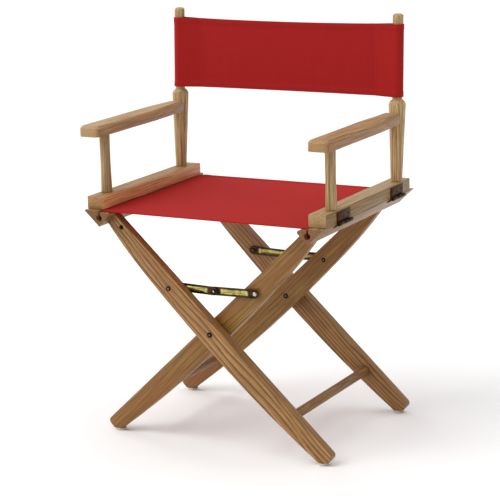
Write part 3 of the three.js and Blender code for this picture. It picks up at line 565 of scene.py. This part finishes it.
for side_name, side in SIDES.items():
    for end_name in ENDS:
        make_leaf_screws(f"{side_name}_hinge_{end_name}_upper_leaf", side, upper=True)
        make_leaf_screws(f"{side_name}_hinge_{end_name}_lower_leaf", side, upper=False)


# ---- fixings and stays ----

RIB_RISE = 0.0015
RIB_HALF_WIDTH = 0.0056
RIB_FROM, RIB_TO, RIB_RAMP = 0.17, 0.83, 0.09    # as shares of the way from the bolt to the middle rivet
RIB_CUTS = (0.17, 0.19, 0.21, 0.23, 0.26, 0.42, 0.58, 0.74, 0.77, 0.79, 0.81, 0.83)
RIB_STRIPS = 6                   # on each side of the rib's line
RIB_CREST = 1.3                  # above 1 makes the crest narrower than a cosine


def press_rib(end_name, link_name):
    """What raises a long rib along the middle of a stay link. The two ribs of a stay point away from each
    other, so the links can lie flat together."""
    outward = ENDS[end_name] if link_name == "outer" else -ENDS[end_name]
    bolt = middle(f"stay_{end_name}_{link_name}_bolt")
    rivet = middle(f"stay_{end_name}_rivet_head")
    start, finish = Vector((bolt.x, 0, bolt.z)), Vector((rivet.x, 0, rivet.z))
    length = (finish - start).length
    along = (finish - start) / length
    across = along.cross(ALONG_Y)

    def cut(bm, point, normal):
        bmesh.ops.bisect_plane(bm, geom=bm.verts[:] + bm.edges[:] + bm.faces[:], dist=1e-7,
                               plane_co=point, plane_no=normal)

    def smooth(value):
        value = max(0.0, min(1.0, value))
        return value * value * (3 - 2 * value)

    def press(bm):
        bmesh.ops.triangulate(bm, faces=[f for f in bm.faces if len(f.verts) > 4])
        for share in RIB_CUTS:
            cut(bm, start + along * (length * share), along)
        for k in range(-RIB_STRIPS, RIB_STRIPS + 1):
            cut(bm, start + across * (RIB_HALF_WIDTH * k / RIB_STRIPS), across)
        for vertex in bm.verts:
            place = Vector((vertex.co.x, 0, vertex.co.z)) - start
            share, off = place.dot(along) / length, abs(place.dot(across)) / RIB_HALF_WIDTH
            if off < 1:
                lengthways = smooth((share - RIB_FROM) / RIB_RAMP) * smooth((RIB_TO - share) / RIB_RAMP)
                vertex.co.y += outward * RIB_RISE * lengthways * math.cos(math.pi / 2 * off) ** RIB_CREST

    return press


END_FACING = 0.99                # how squarely an end looks along Y
DISH_MIN_AREA = 1.2e-5           # smaller faces are left flat
DISH_RING = 0.0011               # width of the raised ring
DISH_WALL, DISH_DEPTH = 0.0004, 0.0009


def dish(bm):
    """Sink the middle of a fixing's flat ends, which leaves a raised ring. The middle has the second
    material."""
    ends = [f for f in bm.faces if abs(f.normal.y) > END_FACING and f.calc_area() > DISH_MIN_AREA]
    bmesh.ops.inset_individual(bm, faces=ends, thickness=DISH_RING, depth=0.0)
    bmesh.ops.inset_individual(bm, faces=ends, thickness=DISH_WALL, depth=-DISH_DEPTH)
    for face in ends:
        face.material_index = 1


def ringed(node, ring_metal, middle_metal, ease):
    """A round fixing with dished ends, whose middle is of another metal than its ring."""
    return eased(node, ring_metal, "steel", ease=ease, segments=3, sharp=50, press=dish, second=middle_metal)


bolt_x = abs(middle("stay_front_outer_bolt").x)
bolt_height = middle("stay_front_outer_bolt").z
stay_fall = bolt_height - middle("stay_front_rivet_head").z
RIB_HALF_SHARE = 0.32            # of the bolt's distance from the middle plane
stay_zinc = stay_plating("yellow_zinc", bolt_x / 2, RIB_HALF_SHARE * bolt_x, bolt_height, stay_fall)
SHINY_BOLT = "stay_front_inner_bolt"    # bright and plain, where the other three have black rings that are partly painted shade

# The black on the fixings is partly painted shade, for the dark of the holes round their heads.
for end_name in ENDS:
    ringed(f"pivot_rivet_{end_name}", black_steel_hole_shade, dull_steel, ease=0.0006)
    eased(f"pivot_washer_{end_name}", steel, "steel", ease=0.0004, sharp=50)
    for frame_name in ("outer", "inner"):
        eased(f"barrel_nut_{frame_name}_{end_name}", black_steel_hole_shade, "steel", ease=0.0004, sharp=50, press=dish,
              second=black_steel_hole_shade if frame_name == "outer" else brown_steel)
        eased(f"rail_stud_{frame_name}_{end_name}", dull_steel, "steel", ease=0.0003, sharp=50)
        bolt = f"stay_{end_name}_{frame_name}_bolt"
        if bolt == SHINY_BOLT:
            eased(bolt, steel, "steel", ease=0.0005, segments=3, sharp=50)
        else:
            ringed(bolt, black_steel_hole_shade, dull_steel, ease=0.0005)
        eased(f"stay_{end_name}_{frame_name}_link", stay_zinc, "zinc", ease=0.0003, sharp=50,
              press=press_rib(end_name, frame_name))
    ringed(f"stay_{end_name}_rivet_head", black_steel_hole_shade, steel, ease=0.0006)
    eased(f"stay_{end_name}_rivet_tail", steel, "steel", ease=0.0006, segments=3, sharp=50)


# ---- the canvas ----


def cloth_shell(name, grid):
    """A closed shell of cloth over a grid of points. Each point is its place in the middle of the cloth, the
    normal there, the cloth's own (u, v) in metres, and its thickness."""
    rows, columns = len(grid), len(grid[0])
    bm = bmesh.new()
    uv_layer = bm.loops.layers.uv.new("cloth")
    place_of = {}
    layers = []
    for sign in (1, -1):
        layer = []
        for row in grid:
            line = []
            for centre, normal, place, thickness in row:
                vertex = bm.verts.new(centre + normal * (sign * thickness / 2))
                place_of[vertex] = place
                line.append(vertex)
            layer.append(line)
        layers.append(layer)
    top, under = layers
    for i in range(rows - 1):
        for j in range(columns - 1):
            bm.faces.new((top[i][j], top[i][j + 1], top[i + 1][j + 1], top[i + 1][j]))
            bm.faces.new((under[i][j], under[i + 1][j], under[i + 1][j + 1], under[i][j + 1]))
    for j in range(columns - 1):
        bm.faces.new((top[0][j], under[0][j], under[0][j + 1], top[0][j + 1]))
        bm.faces.new((top[-1][j], top[-1][j + 1], under[-1][j + 1], under[-1][j]))
    for i in range(rows - 1):
        bm.faces.new((top[i][0], top[i + 1][0], under[i + 1][0], under[i][0]))
        bm.faces.new((top[i][-1], under[i][-1], under[i + 1][-1], top[i + 1][-1]))
    for face in bm.faces:
        for loop in face.loops:
            loop[uv_layer].uv = place_of[loop.vert]
    return new_object(name, bm)


STITCH_PITCH = 0.0042
STITCH_SHARE = 0.66              # of the pitch that a stitch takes up
STITCH_RADIUS = 0.00032
STITCH_RISE = 0.00028            # of its middle above its ends
STITCH_SUNK = 0.0001             # of its ends, into the cloth
STITCH_END = 0.45                # thickness of its ends, as a share of its middle's
STITCH_SIDES, STITCH_STEPS = 6, 4


def add_stitch(bm, start, end, normal):
    """One stitch: a short bent thread from start to end that stands up a little along normal."""
    along = (end - start).normalized()
    across = along.cross(normal).normalized()
    rings = []
    for k in range(STITCH_STEPS + 1):
        t = k / STITCH_STEPS
        swell = math.sin(math.pi * t)
        centre = start.lerp(end, t) + normal * (STITCH_RISE * swell - STITCH_SUNK)
        thick = STITCH_RADIUS * (STITCH_END + (1 - STITCH_END) * swell)
        ring = []
        for m in range(STITCH_SIDES):
            a = 2 * math.pi * m / STITCH_SIDES
            ring.append(bm.verts.new(centre + (across * math.cos(a) + normal * math.sin(a)) * thick))
        rings.append(ring)
    for low_ring, high_ring in zip(rings, rings[1:]):
        for m in range(STITCH_SIDES):
            n = (m + 1) % STITCH_SIDES
            bm.faces.new((low_ring[m], low_ring[n], high_ring[n], high_ring[m]))
    bm.faces.new(list(reversed(rings[0])))
    bm.faces.new(rings[-1])


def stitch_line(bm, point_at, normal, length):
    """Stitches along a path. point_at gives the path's point at a share of its length."""
    count = int(length / STITCH_PITCH)
    for k in range(count):
        start = (k + 0.5 - STITCH_SHARE / 2) / count
        end = (k + 0.5 + STITCH_SHARE / 2) / count
        add_stitch(bm, point_at(start), point_at(end), normal)


def path_lengths(points):
    """How far along a path each of its points lies."""
    lengths = [0.0]
    for a, b in zip(points, points[1:]):
        lengths.append(lengths[-1] + (b - a).length)
    return lengths


def path_normals(points):
    """The left-hand normal at each point of a path in a plane."""
    normals = []
    for i in range(len(points)):
        a = points[max(0, i - 1)]
        b = points[min(len(points) - 1, i + 1)]
        t = (b - a).normalized()
        normals.append(Vector((-t.y, t.x)))
    return normals


CLOTH = 0.0011
# The thickness at a hem's edge, over the hem and on the step where it ends.
EDGE_THICK, HEM_THICK, STEP_THICK = CLOTH * 1.7, CLOTH * 2.0, CLOTH * 1.5
HEM_FOLD = 0.0008                # the rounded edge of a hem
HEM_STEP = 0.001                 # half the width of the step where a hem ends
PLAIN_FROM = 0.006               # from a hem to the first place in the plain cloth
PLAIN_STEPS = 14


def hem_steps(low, high, hem):
    """Places across a hemmed sheet, close together at its two hems, with the cloth's thickness at each."""
    at_hem = (
        (0.0, EDGE_THICK), (HEM_FOLD, HEM_THICK), (hem - HEM_STEP, HEM_THICK),
        (hem, STEP_THICK), (hem + HEM_STEP, CLOTH),
    )
    plain_low, plain_high = low + hem + PLAIN_FROM, high - hem - PLAIN_FROM
    steps = [(low + inset, thickness) for inset, thickness in at_hem]
    for k in range(PLAIN_STEPS + 1):
        steps.append((plain_low + (plain_high - plain_low) * k / PLAIN_STEPS, CLOTH))
    steps += [(high - inset, thickness) for inset, thickness in reversed(at_hem)]
    return steps


# The seat: one sheet, with a hem round a rod in each rail's groove.
seat_low, seat_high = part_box("seat_canvas")
rod = middle("right_seat_rod")
rod_low, rod_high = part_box("right_seat_rod")
groove_x, rod_z, rod_radius = rod.x, rod.z, (rod_high.x - rod_low.x) / 2
seat_top = seat_high.z
SEAT_SAG = 0.0012
HEM_SAG_SHARE = 0.1              # of the sag, where a hem's stitches run
SEAT_BELOW_TOP = 0.0002          # the cloth's upper face, below the top of the CAD solid
SEAT_HEM = 0.012
SEAT_EDGE = 0.0006               # the cloth's edge, inside the CAD solid's
SEAT_STITCH_INSET = 0.0095
SEAT_STITCH_HEIGHT = 0.0004      # above the top of the CAD solid
GROOVE_BEND = 0.0022             # radius of the cloth's bend down into a groove
ROD_CLOTH = 0.0012               # from a rod's face to the middle of the cloth round it
ROD_WRAP_START = math.radians(78)
ROD_WRAP = math.radians(325)
wrap_radius = rod_radius + ROD_CLOTH
flat_half = groove_x - 0.004     # half the seat's width between its bends
stitched_half = groove_x - 0.006    # half the length of its rows of stitches
FLAT_STEPS, BEND_STEPS, WRAP_STEPS = 16, 5, 21
BEFORE_BEND = (0.004, 0.001)     # the last two places on the flat, from the start of the bend


def seat_profile():
    """The cloth's middle line in the XZ plane, from the left hem over the seat to the right hem."""
    level = seat_top - CLOTH / 2 - SEAT_BELOW_TOP
    bend_x = groove_x - GROOVE_BEND
    half = [Vector((k / FLAT_STEPS * (bend_x - BEFORE_BEND[0]), level)) for k in range(FLAT_STEPS + 1)]
    half.append(Vector((bend_x - BEFORE_BEND[1], level)))
    for k in range(1, BEND_STEPS + 1):
        a = math.pi / 2 * (1 - k / BEND_STEPS)
        z = level - GROOVE_BEND + GROOVE_BEND * math.sin(a)
        half.append(Vector((bend_x + GROOVE_BEND * math.cos(a), z)))
    for k in range(WRAP_STEPS + 1):
        a = ROD_WRAP_START - k / WRAP_STEPS * ROD_WRAP
        half.append(Vector((groove_x + wrap_radius * math.cos(a), rod_z + wrap_radius * math.sin(a))))
    left = [Vector((-p.x, p.y)) for p in reversed(half[1:])]
    return left + half


def make_seat():
    """The seat's cloth, and its width laid flat."""
    profile = seat_profile()
    along = path_lengths(profile)
    steps = hem_steps(seat_low.y + SEAT_EDGE, seat_high.y - SEAT_EDGE, SEAT_HEM)
    grid = []
    for point, normal, distance in zip(profile, path_normals(profile), along):
        sag_here = max(0.0, 1 - (point.x / flat_half) ** 2)
        hemmed = abs(point.x) < flat_half
        out = Vector((normal.x, 0, normal.y))
        row = []
        for y, thickness in steps:
            share = (y - seat_low.y) / (seat_high.y - seat_low.y)
            sag = SEAT_SAG * sag_here * math.sin(math.pi * share)
            centre = Vector((point.x, y, point.y - sag))
            row.append((centre, out, (distance, y), thickness if hemmed else CLOTH))
        grid.append(row)
    return cloth_shell("seat_canvas_cloth", grid), along[-1]


def seat_stitch_line(bm, y):
    """A row of stitches along a hem of the seat."""
    def point_at(t):
        sag = SEAT_SAG * math.sin(math.pi * t) * HEM_SAG_SHARE
        return Vector((-stitched_half + 2 * stitched_half * t, y, seat_top + SEAT_STITCH_HEIGHT - sag))

    stitch_line(bm, point_at, UP, 2 * stitched_half)


seat, seat_width = make_seat()
seat.data.materials.append(seat_cloth)

stitches = bmesh.new()
seat_stitch_line(stitches, seat_low.y + SEAT_STITCH_INSET)
seat_stitch_line(stitches, seat_high.y - SEAT_STITCH_INSET)
seat_stitches = new_object("seat_stitches", stitches)
seat_stitches.data.materials.append(thread)

for piece in (seat, seat_stitches):
    shade_smooth(piece, 50)
    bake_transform(piece)
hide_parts("seat_canvas")

# The back: a sleeve round each post, and the panel between them.
back_low, back_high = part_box("back_canvas")
post_x, post_y = middle("right_back_post").x, middle("back_canvas").y
BACK_LEAN = 0.05                 # how far back the posts go for each unit of height
SLEEVE_RADIUS = 0.0118
SLEEVE_SPREAD = 1.15             # 1 would be straight cloth from seam to post; more hugs the seam
SEAM_X = post_x - 0.052          # where a sleeve's front and back cloth meet
SPLIT_X = post_x - 0.030         # where the sleeve pieces and the panel meet
FLAP_END_X = SEAM_X - 0.012      # the free edge of a sleeve's flap behind the panel
FLAT_END_X = SEAM_X - 0.004      # the end of the flat part of the panel
FLAP_GAP = 0.0001                # between a flap and the panel in front of it
TOP_DIP = 0.0030
BOTTOM_RISE = 0.0008
BACK_HEM = 0.011
BACK_STITCH_INSET = 0.0088
BACK_STITCH_HEIGHT = CLOTH * 1.02    # from the panel's middle line
SEAM_STITCH_INSETS = (0.003, 0.0095)
SEAM_STITCH_END = 0.001          # from the cloth's edge

# Where the sleeve's cloth comes off the round post on its way to the seam.
touch_angle = math.acos(SLEEVE_RADIUS / (post_x - SEAM_X))
touch_x = post_x - SLEEVE_RADIUS * math.cos(touch_angle)
touch_depth = SLEEVE_RADIUS * math.sin(touch_angle)


def lean_back(obj):
    """The back canvas is laid out upright, then leant back with its posts."""
    level = (back_low.z + back_high.z) / 2
    for vertex in obj.data.vertices:
        vertex.co.y += BACK_LEAN * (vertex.co.z - level)


def sleeve_half_depth(x):
    """Half the distance between the sleeve's front and back cloth, x metres from the chair's middle."""
    if x >= touch_x:
        return math.sqrt(max(0.0, SLEEVE_RADIUS ** 2 - (x - post_x) ** 2))
    if x <= SEAM_X:
        return 0.0
    t = (x - SEAM_X) / (touch_x - SEAM_X)
    return touch_depth * t ** SLEEVE_SPREAD


def back_edges(x):
    """The heights of the cloth's bottom and top edges at x."""
    share = 1 - min(1, (x / SPLIT_X) ** 2)
    return back_low.z + BOTTOM_RISE * share, back_high.z - TOP_DIP * share


def hang(name, plan):
    """Cloth that stands upright along plan, a path in the XY plane, and its width laid flat."""
    along = path_lengths(plan)
    grid = []
    for point, normal, distance in zip(plan, path_normals(plan), along):
        bottom, top = back_edges(point.x)
        out = Vector((normal.x, normal.y, 0))
        grid.append([(Vector((point.x, point.y, z)), out, (distance, z), thickness)
                     for z, thickness in hem_steps(bottom, top, BACK_HEM)])
    return cloth_shell(name, grid), along[-1]


def spaced(first, last, count):
    """count evenly spaced places from first, stopping short of last."""
    return [first + (last - first) * k / count for k in range(count)]


def sleeve_plan(side):
    """From the split in front of the post round the post to the split behind it."""
    beside = spaced(SPLIT_X, touch_x, 8)
    wrap = math.pi - touch_angle
    turns = 28
    plan = [Vector((side * x, post_y - sleeve_half_depth(x))) for x in beside]
    for k in range(turns + 1):
        a = -wrap + 2 * wrap * k / turns
        x = side * (post_x + SLEEVE_RADIUS * math.cos(a))
        plan.append(Vector((x, post_y + SLEEVE_RADIUS * math.sin(a))))
    plan += [Vector((side * x, post_y + sleeve_half_depth(x))) for x in reversed(beside)]
    return plan


def panel_plan():
    """From the split in front of the left post to the split in front of the right post."""
    beside = spaced(SPLIT_X, FLAT_END_X, 10)
    flat_steps = 24
    plan = [Vector((-x, post_y - sleeve_half_depth(x))) for x in beside]
    for k in range(flat_steps + 1):
        plan.append(Vector((-FLAT_END_X + 2 * FLAT_END_X * k / flat_steps, post_y)))
    plan += [Vector((x, post_y - sleeve_half_depth(x))) for x in reversed(beside)]
    return plan


def flap_plan(side):
    """From the split behind a post to the flap's free edge behind the panel."""
    behind = CLOTH + FLAP_GAP
    steps = 12
    plan = []
    for k in range(steps + 1):
        x = SPLIT_X + (FLAP_END_X - SPLIT_X) * k / steps
        plan.append(Vector((side * x, post_y + max(sleeve_half_depth(x), behind))))
    return plan


def seam_stitches(bm, side, inset, y, out):
    """A row of stitches up a sleeve's seam, on the face at y whose outward direction is out."""
    x = side * (SEAM_X - inset)
    bottom, top = back_edges(x)
    low, high = bottom + SEAM_STITCH_END, top - SEAM_STITCH_END
    stitch_line(bm, lambda t: Vector((x, y, low + (high - low) * t)), Vector((0, out, 0)), top - bottom)


def hem_stitches(bm, at_top, out):
    """A row of stitches along the panel's bottom or top hem."""
    def point_at(t):
        x = -FLAP_END_X + 2 * FLAP_END_X * t
        bottom, top = back_edges(x)
        z = top - BACK_STITCH_INSET if at_top else bottom + BACK_STITCH_INSET
        return Vector((x, post_y + out * BACK_STITCH_HEIGHT, z))

    stitch_line(bm, point_at, Vector((0, out, 0)), 2 * FLAP_END_X)


for side_name, side in SIDES.items():
    sleeve, sleeve_width = hang(f"back_sleeve_{side_name}", sleeve_plan(side))
    lean_back(sleeve)
    finish_piece(sleeve, back_cloth, f"arm_{side_name}", "canvas", sharp=50)

panel, panel_width = hang("back_panel", panel_plan())
flaps = []
for side_name, side in SIDES.items():
    flap, flap_width = hang(f"back_flap_{side_name}", flap_plan(side))
    flaps.append(flap)

# The faces on which a seam's stitches show: the panel's front and the back of the flap behind it.
front_y, rear_y = post_y - CLOTH * 0.55, post_y + CLOTH * 1.65
stitches = bmesh.new()
for side in SIDES.values():
    for inset in SEAM_STITCH_INSETS:
        seam_stitches(stitches, side, inset, front_y, -1)
        seam_stitches(stitches, side, inset, rear_y, 1)
for at_top in (False, True):
    for out in (-1, 1):
        hem_stitches(stitches, at_top, out)
back_stitches = new_object("back_stitches", stitches)

for piece in (panel, *flaps, back_stitches):
    lean_back(piece)
    piece.data.materials.append(thread if piece is back_stitches else back_cloth)
    shade_smooth(piece, 50)
    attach(piece, "arm_left")
    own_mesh(piece)
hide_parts("back_canvas")


# ---- floor, light and camera ----

# The leg frames turn about a fixed pivot, so the feet go down as the chair folds.
FLOOR_REACH = 12.0               # from the chair to the floor's edge
FLOOR_GREY = 0.93
TOOTH_SCALE, TOOTH_DEPTH = 900.0, 0.00002

floor_mesh = bmesh.new()
bmesh.ops.create_grid(floor_mesh, x_segments=2, y_segments=2, size=FLOOR_REACH)
floor = new_object("floor", floor_mesh)
paper = Shader("floor_paper")
tooth = paper.noise(paper.add("ShaderNodeTexCoord").outputs["Object"], TOOTH_SCALE, 2.0)
paper.bump(tooth, TOOTH_DEPTH, 0.2)
floor.data.materials.append(paper.set(Base_Color=(FLOOR_GREY, FLOOR_GREY, FLOOR_GREY, 1), Roughness=0.9))
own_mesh(floor)


LIGHTS_AIM = Vector((0, 0, 0.4))


def light(name, kind, position, power, size, colour=(1, 1, 1)):
    """A soft light aimed at the middle of the chair. size is a sun's angle in degrees, or a disk's width."""
    data = bpy.data.lights.new(name, kind)
    data.energy = power
    data.color = colour
    if kind == "SUN":
        data.angle = math.radians(size)
    else:
        data.shape = "DISK"
        data.size = size
    obj = bpy.data.objects.new(name, data)
    obj.location = position
    aim = LIGHTS_AIM - Vector(position)
    obj.rotation_euler = aim.to_track_quat("-Z", "Y").to_euler()
    bpy.context.scene.collection.objects.link(obj)


light("key", "SUN", (-2.2, -2.2, 3.4), power=1.5, size=50, colour=(1.0, 0.99, 0.97))
light("top", "SUN", (0.6, 0.6, 4.0), power=0.9, size=70)
light("rim", "AREA", (-2.6, 1.2, 1.6), power=12, size=1.2)

# The studio is white all round, a little dimmer on the chair's right. The camera sees it as plain white.
SKY_BRIGHT, SKY_DIM = 0.66, 0.40
DIM_FROM, DIM_TO = -0.2, 0.9     # how far to the right a direction points where the dimming starts and ends
SKY_SEEN = 1.05


def make_world():
    world = bpy.data.worlds.new("studio")
    world.use_nodes = True
    nodes, links = world.node_tree.nodes, world.node_tree.links
    background = nodes["Background"]
    background.inputs["Color"].default_value = (1, 1, 1, 1)
    heading = nodes.new("ShaderNodeSeparateXYZ")
    links.new(nodes.new("ShaderNodeTexCoord").outputs["Generated"], heading.inputs[0])
    dimmer = nodes.new("ShaderNodeMapRange")
    dimming = {"From Min": DIM_FROM, "From Max": DIM_TO, "To Min": SKY_BRIGHT, "To Max": SKY_DIM}
    for socket, value in dimming.items():
        dimmer.inputs[socket].default_value = value
    links.new(heading.outputs["X"], dimmer.inputs["Value"])
    seen = nodes.new("ShaderNodeMix")
    links.new(nodes.new("ShaderNodeLightPath").outputs["Is Camera Ray"], seen.inputs["Factor"])
    links.new(dimmer.outputs["Result"], seen.inputs["A"])
    seen.inputs["B"].default_value = SKY_SEEN
    links.new(seen.outputs["Result"], background.inputs["Strength"])
    return world


bpy.context.scene.world = make_world()
bpy.context.scene.view_settings.view_transform = "Standard"

LENS_MM, SENSOR_MM = 138.2, 36
CAMERA_AZIMUTH, CAMERA_ELEVATION = math.radians(28.39), math.radians(13.11)
CAMERA_ROLL = math.radians(-1.61)
CAMERA_DISTANCE = 3.989
CAMERA_TARGET = Vector((0, -0.0132, 0.3797))


def make_camera():
    """A camera that looks at CAMERA_TARGET. Its azimuth runs from the chair's front towards +X."""
    data = bpy.data.cameras.new("camera")
    data.lens = LENS_MM
    data.sensor_width = SENSOR_MM
    camera = bpy.data.objects.new("camera", data)
    away = Vector((
        math.sin(CAMERA_AZIMUTH) * math.cos(CAMERA_ELEVATION),
        -math.cos(CAMERA_AZIMUTH) * math.cos(CAMERA_ELEVATION),
        math.sin(CAMERA_ELEVATION),
    ))
    level_right = Vector((math.cos(CAMERA_AZIMUTH), math.sin(CAMERA_AZIMUTH), 0))
    level_up = away.cross(level_right)
    right = level_right * math.cos(CAMERA_ROLL) + level_up * math.sin(CAMERA_ROLL)
    up = level_up * math.cos(CAMERA_ROLL) - level_right * math.sin(CAMERA_ROLL)
    camera.matrix_world = Matrix.Translation(CAMERA_TARGET + away * CAMERA_DISTANCE) @ Matrix((
        (right.x, up.x, away.x, 0),
        (right.y, up.y, away.y, 0),
        (right.z, up.z, away.z, 0),
        (0, 0, 0, 1),
    ))
    bpy.context.scene.collection.objects.link(camera)
    bpy.context.scene.camera = camera


make_camera()
